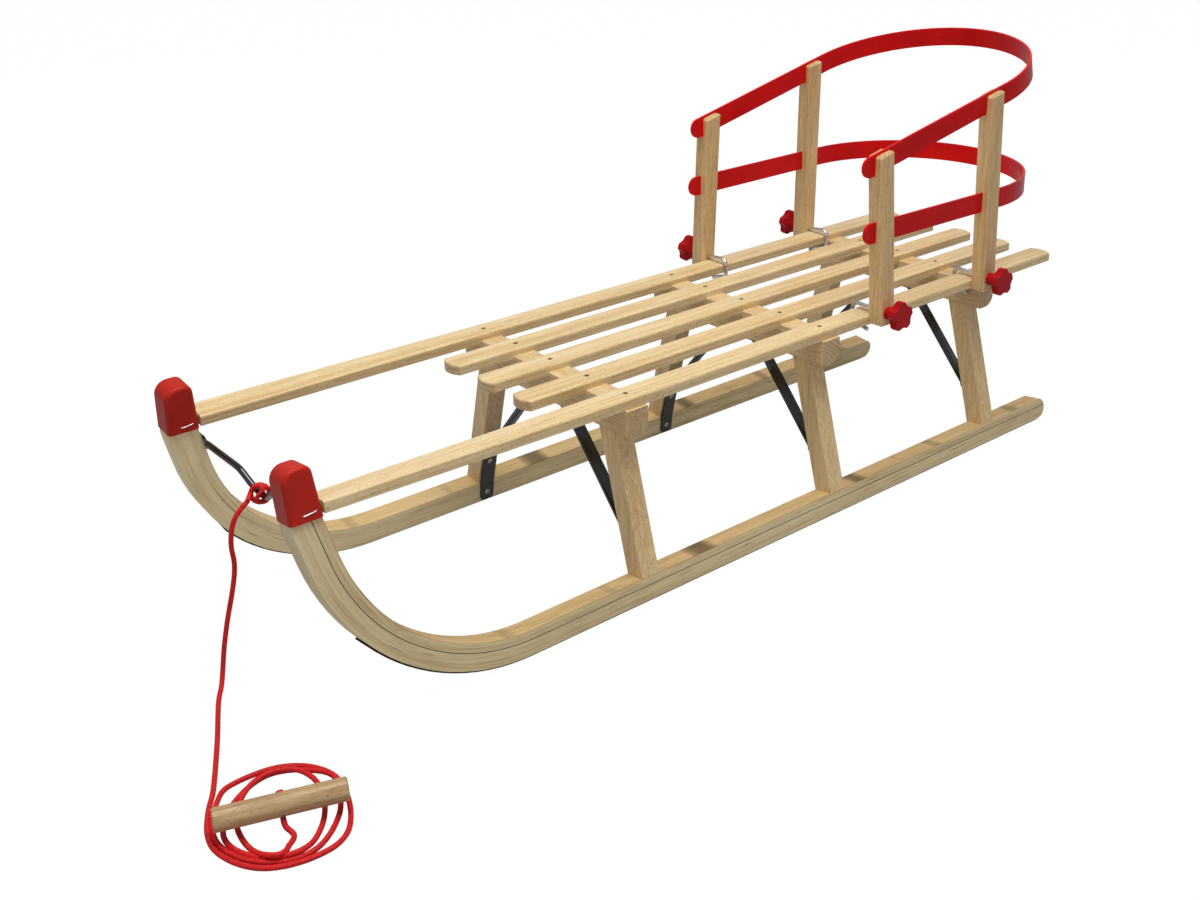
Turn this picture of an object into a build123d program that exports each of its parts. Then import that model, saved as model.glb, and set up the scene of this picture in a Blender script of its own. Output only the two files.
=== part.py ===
from build123d import *
import os
from math import atan2, cos, degrees, hypot, radians, sin, sqrt, tan

os.makedirs("parts", exist_ok=True)

# Wooden sled with a clip-on backrest and a pull cord. Millimetres.
# X points forward, Y to the left, Z up; the origin is on the ground under the middle.

# Seat: slats let into crossbars
seat_height = 226.0            # top of the slats above the ground
slat_thickness = 11.0
slat_width = 31.0
slat_pitch = 64.0              # between the three inner slats
slat_rear_x = -540.8           # rear ends of slats and side rails
slat_front_x = 265.7           # front ends of the inner slats
slat_end_radius = 24.0         # the ends are cut to an arc
slat_edge_radius = 2.5
rail_width = 30.7
rail_middle_y = 127.0
screw_hole_radius = 2.8        # plain sunk holes, the screws sit at the bottom
screw_hole_depth = 5.0

crossbar_count = 3
crossbar_front_x = 176.7
crossbar_spacing = 287.0
crossbar_depth = 27.0          # along X
crossbar_height = 33.5
crossbar_length = 293.0
crossbar_lower_radius = 14.0   # of the rear edge underneath
crossbar_edge_radius = 1.5
housing_depth = 3.5            # how deep the slats are let in

# Runners, seen from the side; both lean inwards
runner_track = 143.0           # from the middle to a runner's lower inner edge
runner_cant = 7.27             # lean of each runner, degrees
runner_width = 23.5
runner_thickness = 26.0
runner_knee = 6.5              # below the cap's bottom, where the tip's front face turns upright
runner_knee_radius = 50.0
runner_swell = 4.1             # the wood is thicker round the bend by this, along X
runner_bend_radius = 220.0     # outer radius of the wood
runner_rise = 76.0             # slope where the bend ends, degrees
runner_rear_x = -519.8
runner_heel_top = 8.0          # rounding of the rear end along its top
runner_heel_bottom = 13.0      # and along its underside
runner_heel_height = 9.0       # height of the rearmost point above the underside
runner_tip_radius = 6.0
shoe_thickness = 2.0
shoe_width = 19.6
shoe_rear_x = -506.8
shoe_sweep = 51.0              # how far the shoe follows the bend, degrees

# Legs: from crossbar to runner, splayed
leg_depth = 23.3               # along X
leg_inner_y = 97.6             # inner face under the crossbar
tenon_depth_x = 13.0
tenon_width = 12.0
upper_tenon = 20.0
lower_tenon = 8.0

# Caps over the runner tips, with a slot for the end of the side rail
cap_rear_x = 523.5
cap_front_x = 557.3
cap_drop = 0.3                 # bottom of the cap below the underside of the slats
cap_height = 49.7
cap_roof = 8.4                 # wood's end below the top of the cap
cap_rear_slope = 4.9           # the rear face leans forward by this
cap_front_slope = 1.3
cap_wall = 2.7
cap_side = 2.6                 # how far the cap stands out beside the runner
cap_rear_radius = 9.0
cap_front_radius = 14.0
cap_edge_radius = 4.0
tongue_width = 18.0
tongue_height = 8.0
tongue_reach = 6.5             # how far the tongue goes into the runner

# Pull bar between the runners
bar_radius = 3.3
bar_below_cap = 18.2           # middle of the bar below the caps
bar_end_y = 123.5              # middle of the flat end
dip_half_width = 35.0
dip_half_floor = 12.0
dip_depth = 15.0               # the dip leans back with the runners
bar_bend = 26.0                # at the corners of the dip
bar_tab_thickness = 3.0
bar_tab_length = 16.0
bar_tab_height = 13.0
bar_tab_drop = 3.0             # middle of the flat end below the bar's
bar_flare = 9.0                # from the round bar to the flat end

# Struts: ribbed steel strips
strut_width = 18.0             # of the flat ends
strut_thickness = 2.5
strut_waist = 14.5             # width of the ribbed stretch
strut_taper = 6.0
strut_rib = 2.2
strut_rib_base = 9.6
strut_rib_top = 5.4
strut_foot_radius = 5.0
strut_inner_y = 5.0
strut_bend_y = 29.0
strut_knee_height = 72.0
strut_foot_height = 4.0
strut_bend_radius = 6.0

# Backrest: four leaning posts with two bands let through them
post_depth = 22.3              # along X
post_thickness = 19.5
post_chamfer = 2.2
post_edge_radius = 1.2
front_post_x = -188.3
front_post_lean = 3.3          # inwards, degrees
front_post_foot = 8.5          # foot of the post below the top of the seat
rear_post_ahead = 18.0          # middle of the post ahead of the rear crossbar's
rear_post_lean = 1.4
hook_radius = 2.5
hook_lift = 0.4                # between the hook and the top of the rail, at the post
hook_rise = 4.4                # further up at the hook's inner corner
hook_clearance = 1.2           # between the hook and the inside of the rail
hook_arch = 20.0               # where the bolt starts to rise
hook_bend = 8.5
hook_heel_bend = 6.0
hook_heel_drop = 17.9          # corners of the hook below the bolt
hook_toe_drop = 26.4
hook_toe_reach = 23.1
knob_neck_radius = 7.6
knob_neck_length = 7.5
knob_flare_length = 5.5        # where the neck opens out into the star
knob_flare_radius = 14.5
knob_radius = 17.3
knob_lobes = 5                 # one of them points up
knob_scallop_radius = 11.0
knob_scallop_depth = 4.0
knob_lobe_edge = 2.2
knob_head_length = 10.0
knob_edge = 1.3
bolt_in_knob = 17.0

band_width = 24.0
band_thickness = 3.0
band_front_x = -157.8
lower_band_height = 101.0      # middle of the strip above the seat
lower_band_back_x = -557.3
upper_band_height = 223.3      # middle of the strip above the seat, at the rear posts
upper_band_tilt = 12.5         # degrees, rising to the rear
upper_band_back_x = -554.1
post_head = 2.6                # top of the posts below the top band's upper edge

# Pull cord
cord_radius = 2.0
knot_radius = 5.2
knot_forward = 10.5
knot_drop = 0.5
coil_middle_x = 625.5
coil_middle_y = 211.5
coil_half_x = 61.0
coil_half_y = 67.5
coil_bundle = 16.0
coil_height = 12.8
handle_radius = 10.0
handle_length = 109.0
handle_middle_x = 628.8
handle_middle_y = 225.6
handle_turn = 159.9            # direction of the handle's axis, degrees
handle_hole_radius = 2.4

joint_gap = 0.1                # glued wood joints
slide_gap = 0.3                # pieces that are pushed on
slot_gap = 0.2                 # round the bands in the posts

# Worked out from the sizes above
slat_bottom = seat_height - slat_thickness
crossbar_top = slat_bottom + housing_depth
crossbar_bottom = crossbar_top - crossbar_height
crossbar_xs = [crossbar_front_x - i * crossbar_spacing for i in range(crossbar_count)]
rear_post_x = crossbar_xs[-1] + rear_post_ahead
rail_outer_y = rail_middle_y + rail_width / 2
rail_inner_y = rail_middle_y - rail_width / 2
runner_top = shoe_thickness + runner_thickness
shoe_inset = (runner_width - shoe_width) / 2
ground_lift = -shoe_inset * sin(radians(runner_cant))
rise = radians(runner_rise)
tip_front_x = cap_front_x - cap_wall
cap_bottom = slat_bottom - cap_drop
cap_top = cap_bottom + cap_height
runner_tip_height = cap_top - cap_roof
arc_rise = runner_bend_radius * (1 - cos(rise))
outer_bend_x = tip_front_x - runner_bend_radius * sin(rise)
outer_bend_x -= (cap_bottom - runner_knee - shoe_thickness - arc_rise) / tan(rise)
runner_bend_x = outer_bend_x - runner_swell
bar_height = cap_bottom - bar_below_cap


def save(shape, node):
    export_step(shape, "parts/" + node + ".step")


def save_pair(left, name):
    save(left, name + "_left")
    save(mirror(left, about=Plane.XZ), name + "_right")


def canted(shape):
    """Put a piece drawn beside a runner into its place on the left of the sled."""
    return Pos(0, runner_track, ground_lift) * Rot(runner_cant, 0, 0) * shape


def from_runner(across, up):
    """Y and Z on the sled of a point in the left runner's own section."""
    c, s = cos(radians(runner_cant)), sin(radians(runner_cant))
    return runner_track + across * c - up * s, ground_lift + across * s + up * c


def to_runner(y, z):
    """The same the other way round."""
    c, s = cos(radians(runner_cant)), sin(radians(runner_cant))
    return (y - runner_track) * c + (z - ground_lift) * s, (z - ground_lift) * c - (y - runner_track) * s


def cross_prism(points, middle_x, depth):
    """A prism along X from points in Y and Z."""
    face = make_face(Polyline(*points, close=True))
    return Pos(middle_x, 0, 0) * extrude(Plane.YZ * face, amount=depth / 2, both=True)


def side_plate(face, across_from, across_to):
    """A plate along Y from a face drawn in X and Z."""
    return Pos(0, across_from, 0) * extrude(Plane.XZ * face, amount=across_to - across_from, dir=(0, 1, 0))


def block(x_from, x_to, y_from, y_to, z_from, z_to):
    size = Box(x_to - x_from, y_to - y_from, z_to - z_from)
    return Pos((x_from + x_to) / 2, (y_from + y_to) / 2, (z_from + z_to) / 2) * size


# ---- runners, shoes and caps -------------------------------------------------

def runner_outline():
    outer = JernArc((outer_bend_x, shoe_thickness), (1, 0), runner_bend_radius, runner_rise)
    inner = JernArc((runner_bend_x, runner_top), (1, 0), runner_bend_radius - runner_thickness, runner_rise)
    front, rear = outer @ 1, inner @ 1
    knee = (tip_front_x, front.Y + (tip_front_x - front.X) * tan(rise))
    tip_front = (tip_front_x, runner_tip_height)
    tip_rear = (rear.X + (runner_tip_height - rear.Y) / tan(rise), runner_tip_height)
    heel_low = (runner_rear_x + runner_heel_bottom, shoe_thickness)
    heel = (runner_rear_x, shoe_thickness + runner_heel_height)
    heel_high = (runner_rear_x + runner_heel_top, runner_top)
    edges = Line(heel_low, outer @ 0) + outer + Polyline(outer @ 1, knee, tip_front, tip_rear, inner @ 1)
    edges += inner
    edges += Line(inner @ 0, heel_high)
    edges += ThreePointArc(heel_high, heel, heel_low)
    face = make_face(edges)
    face = fillet(face.vertices().sort_by(Axis.Y)[-2:], runner_tip_radius)
    bend = min(face.vertices(), key=lambda corner: (Vector(*knee) - Vector(corner.X, corner.Y)).length)
    return fillet(bend, runner_knee_radius)


def shoe_outline():
    low = JernArc((outer_bend_x, 0), (1, 0), runner_bend_radius + shoe_thickness, shoe_sweep)
    high = JernArc((outer_bend_x, shoe_thickness), (1, 0), runner_bend_radius, shoe_sweep)
    edges = Line((shoe_rear_x, 0), low @ 0) + low + Line(low @ 1, high @ 1) + high
    edges += Polyline(high @ 0, (shoe_rear_x, shoe_thickness), (shoe_rear_x, 0))
    return make_face(edges)


def cap_outline():
    points = [
        (cap_rear_x, cap_bottom),
        (cap_rear_x + cap_rear_slope, cap_top),
        (cap_front_x, cap_top),
        (cap_front_x - cap_front_slope, cap_bottom),
    ]
    face = make_face(Polyline(*points, close=True))
    rear, front = face.vertices().sort_by(Axis.Y)[-2:].sort_by(Axis.X)
    face = fillet(rear, cap_rear_radius)
    front = face.vertices().sort_by(Axis.X)[-1]
    return fillet(front, cap_front_radius)


def runner_rear_face_x(up):
    """X of the rear face of a runner's straight upper part at a height along it."""
    inner_radius = runner_bend_radius - runner_thickness
    end_x = runner_bend_x + inner_radius * sin(rise)
    end_up = runner_top + inner_radius * (1 - cos(rise))
    return end_x + (up - end_up) / tan(rise)


tongue_height_from = slat_bottom + (slat_thickness - tongue_height) / 2
tongue_in_runner = to_runner(rail_middle_y, tongue_height_from)[1]
tongue_end_x = runner_rear_face_x(tongue_in_runner) + tongue_reach


def square_with_runner(shape, lean=runner_cant):
    """Turn a piece of the rail's front end about the rail's inner bottom edge, as the runner leans."""
    return Pos(0, rail_inner_y, slat_bottom) * Rot(lean, 0, 0) * Pos(0, -rail_inner_y, -slat_bottom) * shape


def tongue(gap, down=0.0):
    return square_with_runner(block(
        cap_rear_x - slide_gap - 4, tongue_end_x + gap,
        rail_middle_y - tongue_width / 2 - gap, rail_middle_y + tongue_width / 2 + gap,
        tongue_height_from - gap - down, tongue_height_from + tongue_height + gap,
    ))


def lower_tenon_block(x, gap):
    middle = runner_width / 2
    half = tenon_width / 2 + gap
    deep = tenon_depth_x / 2 + gap
    return canted(block(x - deep, x + deep, middle - half, middle + half,
                        runner_top - lower_tenon - gap, runner_top))


outline = runner_outline()
runner = canted(side_plate(outline, 0, runner_width))
for x in crossbar_xs:
    runner -= lower_tenon_block(x, joint_gap)
runner -= tongue(joint_gap)
save_pair(runner, "runner")

shoe = canted(side_plate(shoe_outline(), shoe_inset, shoe_inset + shoe_width))
save_pair(shoe, "runner_shoe")

cap = side_plate(cap_outline(), -cap_side, runner_width + cap_side)
sides = cap.faces().sort_by(Axis.Y)
rim = ShapeList(sides[0].edges() + sides[-1].edges())
rim = rim.filter_by(lambda edge: edge.center().Z > cap_bottom + 1)
cap = fillet(rim, cap_edge_radius)
pocket = offset(outline, amount=joint_gap, kind=Kind.INTERSECTION)
cap -= side_plate(pocket, -joint_gap, runner_width + joint_gap)
cap = canted(cap) - tongue(slide_gap, down=tongue_height)
save_pair(cap, "tip_cap")

# ---- seat --------------------------------------------------------------------

screw_hole = Pos(0, 0, seat_height - screw_hole_depth / 2) * Cylinder(screw_hole_radius, screw_hole_depth)


def slat(rear_x, front_x, width, middle_y, screws):
    left, right = middle_y + width / 2, middle_y - width / 2
    arc_depth = slat_end_radius - sqrt(slat_end_radius ** 2 - width ** 2 / 4)
    rear, front = rear_x + arc_depth, front_x - arc_depth
    outline = Line((rear, left), (front, left)) + ThreePointArc((front, left), (front_x, middle_y), (front, right))
    outline += Line((front, right), (rear, right)) + ThreePointArc((rear, right), (rear_x, middle_y), (rear, left))
    body = Pos(0, 0, slat_bottom) * extrude(make_face(outline), amount=slat_thickness)
    body = fillet(body.faces().sort_by(Axis.Z)[-1].edges(), slat_edge_radius)
    for x in screws:
        body -= Pos(x, middle_y, 0) * screw_hole
    return body


for side, name in ((-1, "right"), (0, "middle"), (1, "left")):
    save(slat(slat_rear_x, slat_front_x, slat_width, side * slat_pitch, crossbar_xs), "seat_slat_" + name)

def rail_section(x, lean):
    section = Rectangle(rail_width, slat_thickness, align=(Align.MIN, Align.MIN))
    section = fillet(section.vertices().group_by(Axis.Y)[-1], slat_edge_radius)
    return square_with_runner(Pos(x, rail_inner_y, slat_bottom) * (Plane.YZ * section), lean)


twist_x = crossbar_xs[0] + crossbar_depth / 2
rail_front_x = cap_rear_x - slide_gap
rail = slat(slat_rear_x, rail_front_x, rail_width, rail_middle_y, crossbar_xs)
rail -= block(twist_x, rail_front_x + 1, rail_inner_y - 1, rail_outer_y + 1, slat_bottom - 1, seat_height + 1)
rail += loft([rail_section(twist_x, 0), rail_section(rail_front_x, runner_cant)], ruled=True)
save_pair(rail + tongue(0), "side_rail")


def crossbar(x):
    half = crossbar_length / 2
    bar = block(x - crossbar_depth / 2, x + crossbar_depth / 2, -half, half, crossbar_bottom, crossbar_top)
    low_rear = bar.edges().filter_by(Axis.Y).group_by(Axis.Z)[0].sort_by(Axis.X)[0]
    bar = fillet(low_rear, crossbar_lower_radius)
    bar = fillet(bar.faces().sort_by(Axis.X)[-1].edges(), crossbar_edge_radius)
    for y in (-half, half):
        bar -= block(x - crossbar_depth, x + crossbar_depth, min(y, rail_outer_y * y / half),
                     max(y, rail_outer_y * y / half), slat_bottom, seat_height)
    slats = [(-slat_pitch, slat_width), (0, slat_width), (slat_pitch, slat_width)]
    slats += [(-rail_middle_y, rail_width), (rail_middle_y, rail_width)]
    for y, width in slats:
        half = width / 2 + joint_gap
        bar -= block(x - crossbar_depth, x + crossbar_depth, y - half, y + half, slat_bottom, seat_height)
    mortise = upper_tenon_block(x, joint_gap)
    return bar - mortise - mirror(mortise, about=Plane.XZ)


# ---- legs and struts ---------------------------------------------------------

foot_inner = from_runner(0, runner_top)
foot_outer = from_runner(runner_width, runner_top)
leg_lean = (foot_inner[0] - leg_inner_y) / (crossbar_bottom - foot_inner[1])
leg_outer_y = foot_outer[0] - leg_lean * (crossbar_bottom - foot_outer[1])


def upper_tenon_block(x, gap):
    middle = (leg_inner_y + leg_outer_y) / 2
    half = tenon_width / 2 + gap
    deep = tenon_depth_x / 2 + gap
    return block(x - deep, x + deep, middle - half, middle + half, crossbar_bottom, crossbar_bottom + upper_tenon + gap)


def leg(x):
    top_inner = (leg_inner_y, crossbar_bottom)
    top_outer = (leg_outer_y, crossbar_bottom)
    body = cross_prism([top_inner, foot_inner, foot_outer, top_outer], x, leg_depth)
    return body + upper_tenon_block(x, 0) + lower_tenon_block(x, 0)


def beside(points, gap):
    """The line that runs a gap to the right of a line through points."""
    normals = []
    for (y0, z0), (y1, z1) in zip(points, points[1:]):
        run = hypot(y1 - y0, z1 - z0)
        normals.append(((z1 - z0) / run, (y0 - y1) / run))
    moved = []
    for i, (y, z) in enumerate(points):
        a = normals[max(i - 1, 0)]
        b = normals[min(i, len(normals) - 1)]
        scale = gap / (1 + a[0] * b[0] + a[1] * b[1])
        moved.append((y + (a[0] + b[0]) * scale, z + (a[1] + b[1]) * scale))
    return moved


def strut(x):
    knee_y = leg_inner_y + leg_lean * (crossbar_bottom - strut_knee_height)
    seat_line = [
        (strut_inner_y, crossbar_bottom),
        (strut_bend_y, crossbar_bottom),
        (knee_y, strut_knee_height),
        foot_inner,
        from_runner(0, strut_foot_height),
    ]
    line = [Vector(x, y, z) for y, z in beside(seat_line, strut_thickness / 2)]
    path = FilletPolyline(*line, radius=strut_bend_radius)
    start = Plane(origin=path @ 0, x_dir=(1, 0, 0), z_dir=path % 0)
    strip = sweep(start * Rectangle(strut_width, strut_thickness), path=path, transition=Transition.RIGHT)
    end_edges = strip.edges().sort_by(Axis.Z).filter_by(lambda edge: abs(edge.length - strut_thickness) < 0.01)
    strip = fillet(end_edges[:2], strut_foot_radius)

    # The slanting stretch is drawn in narrower and pressed into a rib.
    slant = Plane(origin=(line[1] + line[2]) / 2, x_dir=(1, 0, 0), z_dir=line[2] - line[1])
    half_run = (line[2] - line[1]).length / 2 - strut_taper
    half, waist = strut_width / 2, strut_waist / 2
    level = Plane(origin=slant.origin, x_dir=slant.z_dir, z_dir=slant.y_dir)
    for side in (-1, 1):
        notch = [(-half_run - half + waist, side * (half + 1)), (half_run + half - waist, side * (half + 1)),
                 (half_run, side * waist), (-half_run, side * waist)]
        notch[0] = (-half_run - (half + 1 - waist), side * (half + 1))
        notch[1] = (half_run + (half + 1 - waist), side * (half + 1))
        strip -= extrude(level * make_face(Polyline(*notch, close=True)), amount=strut_thickness, both=True)
    rib = [(-strut_rib_base / 2, 0), (-strut_rib_top / 2, strut_rib), (strut_rib_top / 2, strut_rib), (strut_rib_base / 2, 0)]
    skin = strut_thickness / 2
    ridge = slant * Pos(0, skin) * make_face(Polyline(*rib, close=True))
    groove = slant * Pos(0, -skin) * make_face(Polyline(*rib, close=True))
    strip += extrude(ridge, amount=half_run - strut_taper, both=True)
    return strip - extrude(groove, amount=half_run - strut_taper, both=True)


for number, x in enumerate(crossbar_xs):
    place = ("front", "middle", "rear")[number] if number < 3 else str(number + 1)
    save(crossbar(x), "crossbar_" + place)
    save_pair(leg(x), "leg_" + place)
    save_pair(strut(x), "strut_" + place)

# ---- pull bar ----------------------------------------------------------------

bar_up = to_runner(bar_end_y, bar_height)[1]
bar_x = runner_rear_face_x(bar_up) - bar_tab_thickness / sin(rise) + bar_radius


flare_end_y = bar_end_y - bar_tab_length / 2


def bar_tab():
    along = (cos(rise) * bar_tab_height / 2, sin(rise) * bar_tab_height / 2)
    back = (-sin(rise) * bar_tab_thickness, cos(rise) * bar_tab_thickness)
    up = bar_up - bar_tab_drop
    middle = (runner_rear_face_x(up), up)
    low = (middle[0] - along[0], middle[1] - along[1])
    high = (middle[0] + along[0], middle[1] + along[1])
    points = [low, high, (high[0] + back[0], high[1] + back[1]), (low[0] + back[0], low[1] + back[1])]
    face = make_face(Polyline(*points, close=True))
    start = to_runner(flare_end_y, bar_height)[0]
    return canted(side_plate(face, start, start + bar_tab_length))


dip_x = bar_x - dip_depth / tan(rise)
dip_z = bar_height - dip_depth
bar_line = [
    (bar_x, -flare_end_y + bar_flare, bar_height),
    (bar_x, -dip_half_width, bar_height),
    (dip_x, -dip_half_floor, dip_z),
    (dip_x, dip_half_floor, dip_z),
    (bar_x, dip_half_width, bar_height),
    (bar_x, flare_end_y - bar_flare, bar_height),
]
bar_path = FilletPolyline(*bar_line, radius=bar_bend)
bar_start = Plane(origin=bar_path @ 0, z_dir=bar_path % 0)
pull_bar = sweep(bar_start * Circle(bar_radius), path=bar_path)
flat_end = bar_tab()
round_end = Plane(origin=bar_path @ 1, z_dir=bar_path % 1) * Circle(bar_radius)
flat_end += loft([round_end.face(), flat_end.faces().sort_by(Axis.Y)[0]])
pull_bar += flat_end + mirror(flat_end, about=Plane.XZ)
save(pull_bar, "pull_bar")

# ---- backrest ----------------------------------------------------------------

pivot_height = seat_height - slat_edge_radius
lower_middle = seat_height + lower_band_height
upper_middle = seat_height + upper_band_height
upper_slope = tan(radians(upper_band_tilt))


def leaning(x, lean, shape):
    """A piece drawn upright against the rail, put in its place beside it."""
    return Pos(x, rail_outer_y + joint_gap, pivot_height) * Rot(lean, 0, 0) * shape


def post_middle_y(lean, height):
    """Y of the middle of a post's thickness at a height."""
    turn = radians(lean)
    return rail_outer_y + joint_gap + post_thickness / 2 / cos(turn) - (height - pivot_height) * tan(turn)


def bolt_above_pivot(lean):
    """Where the bolt crosses the post, so that it just clears the rail."""
    turn = radians(lean)
    return (seat_height + hook_radius + hook_lift - pivot_height + rail_width * sin(turn)) / cos(turn)


def band_outline(middle_x, radius, toe, front_x):
    """An arc with two arms that close in by an angle towards the front."""
    turn = radians(toe)
    arm_x, arm_y = middle_x + radius * sin(turn), radius * cos(turn)
    end_y = arm_y - (front_x - arm_x) * tan(turn)
    arms = make_face(Polyline((arm_x, arm_y), (front_x, end_y), (front_x, -end_y), (arm_x, -arm_y), close=True))
    return arms + Pos(middle_x, 0) * Circle(radius)


def band(front_x, back_x, rear_y, front_y, run, gap=0.0):
    """A strip bent to a U, lying level at height 0 with X measured from the rear posts.

    It passes the rear posts at rear_y and the front posts, a run further on, at front_y.
    A gap makes it larger all round, to cut its slots.
    """
    toe = atan2(rear_y - front_y, run)
    radius = ((rear_y - back_x * tan(toe)) * cos(toe) + band_thickness / 2) / (1 + sin(toe))
    middle_x = back_x + radius
    outer = band_outline(middle_x, radius + gap, degrees(toe), front_x + gap)
    inner = band_outline(middle_x, radius - band_thickness - gap, degrees(toe), front_x + gap + 1)
    strip = extrude(outer - inner, amount=band_width / 2 + gap, both=True)
    ends = strip.edges().filter_by(Axis.Y).filter_by(lambda edge: edge.center().X > front_x + gap - 0.01)
    return fillet(ends, band_width / 2 * 0.98)


def lower_band(gap=0.0):
    strip = band(
        band_front_x - rear_post_x, lower_band_back_x - rear_post_x,
        post_middle_y(rear_post_lean, lower_middle), post_middle_y(front_post_lean, lower_middle),
        front_post_x - rear_post_x, gap)
    return Pos(rear_post_x, 0, lower_middle) * strip


def upper_band(gap=0.0):
    stretch = 1 / cos(radians(upper_band_tilt))
    run = front_post_x - rear_post_x
    strip = band(
        (band_front_x - rear_post_x) * stretch, (upper_band_back_x - rear_post_x) * stretch,
        post_middle_y(rear_post_lean, upper_middle),
        post_middle_y(front_post_lean, upper_middle - run * upper_slope),
        run * stretch, gap)
    return Pos(rear_post_x, 0, upper_middle) * Rot(0, upper_band_tilt, 0) * strip


def post(x, lean, foot):
    """Its foot is level, and its top is cut along the top band."""
    half = post_depth / 2
    tall = upper_middle + band_width * 2 - pivot_height
    body = block(-half, half, 0, post_thickness, foot - pivot_height - 5, tall)
    body = leaning(x, lean, body)
    body -= block(x - post_depth, x + post_depth, rail_inner_y, rail_outer_y + 3 * post_thickness, foot - 30, foot)
    above = block(-tall, tall, 0, tall, band_width / 2 - post_head, tall)
    body -= Pos(rear_post_x, 0, upper_middle) * Rot(0, upper_band_tilt, 0) * above
    body = chamfer(body.faces().sort_by(Axis.Z)[-1].edges(), post_chamfer)
    body = fillet(body.edges().sort_by(SortBy.LENGTH)[-4:], post_edge_radius)
    body -= lower_band(slot_gap) + upper_band(slot_gap)
    hole = Cylinder(hook_radius + slide_gap, post_thickness * 2, rotation=(90, 0, 0))
    return body - leaning(x, lean, Pos(0, post_thickness / 2, bolt_above_pivot(lean)) * hole)


def hook_bolt(x, lean):
    up = bolt_above_pivot(lean)
    heel_y = -rail_width - hook_clearance - hook_radius
    line = [
        (0, post_thickness + bolt_in_knob, up),
        (0, 0, up),
        (0, heel_y, up + hook_rise),
        (0, heel_y, up - hook_heel_drop),
        (0, heel_y + hook_toe_reach, up - hook_toe_drop),
    ]
    path = FilletPolyline(*line, radius=[hook_arch, hook_bend, hook_heel_bend])
    return leaning(x, lean, sweep(Plane(origin=path @ 0, z_dir=path % 0) * Circle(hook_radius), path=path))


def star_knob(x, lean):
    scallop = PolarLocations(knob_radius + knob_scallop_radius - knob_scallop_depth, knob_lobes) * Circle(
        knob_scallop_radius)
    head = Circle(knob_radius) - scallop
    head = fillet(head.vertices(), knob_lobe_edge)
    star_from = knob_neck_length + knob_flare_length
    top = star_from + knob_head_length
    profile = Polyline((0, 0), (knob_neck_radius, 0), (knob_neck_radius, knob_neck_length),
                       (knob_flare_radius, star_from), (knob_radius, star_from + knob_edge),
                       (knob_radius, top - knob_edge), (knob_radius - knob_edge, top), (0, top), close=True)
    solid = extrude(head, amount=top) + Cylinder(knob_neck_radius, knob_neck_length * 2)
    solid &= revolve(Plane.XZ * make_face(profile), axis=Axis.Z)
    depth = bolt_in_knob + 1
    solid -= Pos(0, 0, depth / 2) * Cylinder(hook_radius + joint_gap, depth)
    return leaning(x, lean, Pos(0, post_thickness, bolt_above_pivot(lean)) * Rot(-90, 0, 0) * Rot(0, 0, 90 / knob_lobes) * solid)


for x, lean, foot, place in (
    (front_post_x, front_post_lean, seat_height - front_post_foot, "front"),
    (rear_post_x, rear_post_lean, slat_bottom, "rear"),
):
    save_pair(post(x, lean, foot), "backrest_post_" + place)
    save_pair(hook_bolt(x, lean), "hook_bolt_" + place)
    save_pair(star_knob(x, lean), "star_knob_" + place)

save(lower_band(), "backrest_band_lower")
save(upper_band(), "backrest_band_top")

# ---- pull cord ---------------------------------------------------------------

knot_middle = Vector(dip_x + knot_forward, 0, dip_z - knot_drop)


def cord_tube(points):
    """Straight runs joined by tangent arcs, each as large as its runs allow."""
    points = [Vector(*p) for p in points]
    radii = []
    for a, b, c in zip(points, points[1:], points[2:]):
        turn = radians((b - a).get_angle(c - b))
        radii.append(0.45 * min((b - a).length, (c - b).length) / tan(turn / 2))
    print("cord radii", [round(r, 1) for r in radii])
    path = FilletPolyline(*points, radius=radii)
    tube = sweep(Plane(origin=path @ 0, z_dir=path % 0) * Circle(cord_radius), path=path)
    print("cord length", round(path.length, 1), "volume", round(tube.volume, 1),
          "section times length", round(3.14159265 * cord_radius ** 2 * path.length, 1))
    return tube


first_way = (Vector(543.7, 0.3, 170.5) - knot_middle).normalized()
cord_start = knot_middle + first_way * (knot_radius + joint_gap)
cord_points = [
    tuple(cord_start),
    (543.7, 0.3, 170.5),
    (550.5, 0.0, 157.5),
    (553.9, 0.4, 138.5),
    (551.5, 0.2, 119.0),
    (557.2, 1.0, 95.0),
    (566.7, 1.6, 66.0),
    (574.2, 2.6, 38.0),
    (579.0, 5.2, 18.0),
    (585.3, 13.0, 5.5),
    (594.8, 26.0, 2.3),
    (606.3, 50.0, 2.1),
    (619.5, 78.5, 2.4),
    (633.5, 106.5, 2.1),
    (646.5, 132.0, 2.3),
    (656.6, 150.9, 2.1),
]
save(cord_tube(cord_points), "pull_cord")

handle_height = coil_height + slide_gap + handle_radius
handle_middle = Vector(handle_middle_x, handle_middle_y, handle_height)
tail_reach = (Vector(633.8, 239.8, 12.0) - handle_middle).normalized()
tail_end = handle_middle + tail_reach * (handle_radius + joint_gap)
tail_points = [
    (645.6, 252.0, 4.6),
    (639.6, 251.2, 4.4),
    (633.8, 246.2, 5.8),
    (633.8, 239.8, 12.0),
    tuple(tail_end),
]
save(cord_tube(tail_points), "pull_cord_tail")

wrap_radius = bar_radius + joint_gap + cord_radius + 0.35
knot = Pos(*knot_middle) * Sphere(knot_radius)
for side in (-1, 1):
    knot += Pos(dip_x, side * (cord_radius + 0.2), dip_z) * Rot(90, 0, 0) * Torus(wrap_radius, cord_radius)
save(knot, "pull_cord_knot")

coil = Ellipse(coil_half_x, coil_half_y) - Ellipse(coil_half_x - coil_bundle, coil_half_y - coil_bundle)
coil = extrude(coil, amount=coil_height)
coil = chamfer(coil.faces().sort_by(Axis.Z)[-1].edges(), 3)
save(Pos(coil_middle_x, coil_middle_y, 0) * coil, "pull_cord_coil")

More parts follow.
